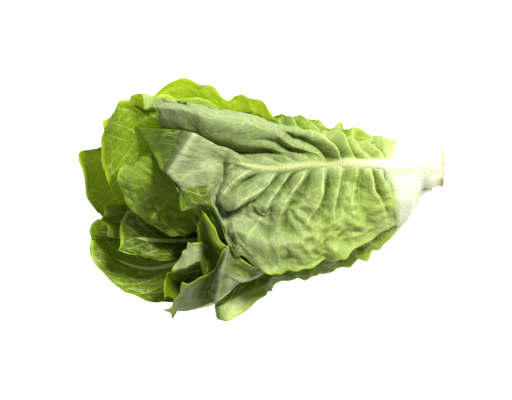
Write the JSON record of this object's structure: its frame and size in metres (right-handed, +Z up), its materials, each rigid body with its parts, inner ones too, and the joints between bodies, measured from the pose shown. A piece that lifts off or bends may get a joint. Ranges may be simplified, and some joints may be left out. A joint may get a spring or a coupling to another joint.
{
  "type": "romaine lettuce head",
  "caption": "Romaine lettuce head lying on its side: long leaves with thick white midribs, nested round a short cut stem, open and ruffled at the leaf end.",
  "frame": {"origin": "middle of the underside, on the surface that the head lies on", "axes": "+X towards the cut butt, -X towards the leaf tips, +Z up, +Y to the left of someone who looks from the tips to the butt"},
  "size_m": [0.2984, 0.198, 0.1269],
  "materials": {
    "stem": "moist cut stem, white to pale green, with a thin brown rim at the cut",
    "outer_leaf": "satin leaf, white at the base, yellow-green blade, greyer and more matt on the outer face, pale veins",
    "middle_leaf": "satin to glossy leaf, deep green at the tip, pale sunken veins on the inner face",
    "heart_leaf": "satin leaf, pale yellow-green"
  },
  "bodies": {
    "root": {"stem": "stem", "outer_leaf_1": "outer_leaf", "outer_leaf_2": "outer_leaf", "outer_leaf_3": "outer_leaf", "outer_leaf_4": "outer_leaf", "outer_leaf_5": "outer_leaf", "outer_leaf_6": "outer_leaf", "outer_leaf_7": "outer_leaf", "outer_leaf_8": "outer_leaf", "middle_leaf_1": "middle_leaf", "middle_leaf_2": "middle_leaf", "middle_leaf_3": "middle_leaf", "middle_leaf_4": "middle_leaf", "middle_leaf_5": "middle_leaf", "middle_leaf_6": "middle_leaf", "middle_leaf_7": "middle_leaf", "middle_leaf_8": "middle_leaf", "heart_leaf_1": "heart_leaf", "heart_leaf_2": "heart_leaf", "heart_leaf_3": "heart_leaf", "heart_leaf_4": "heart_leaf", "heart_leaf_5": "heart_leaf", "heart_leaf_6": "heart_leaf", "heart_leaf_7": "heart_leaf", "heart_leaf_8": "heart_leaf"}
  },
  "joints": []
}
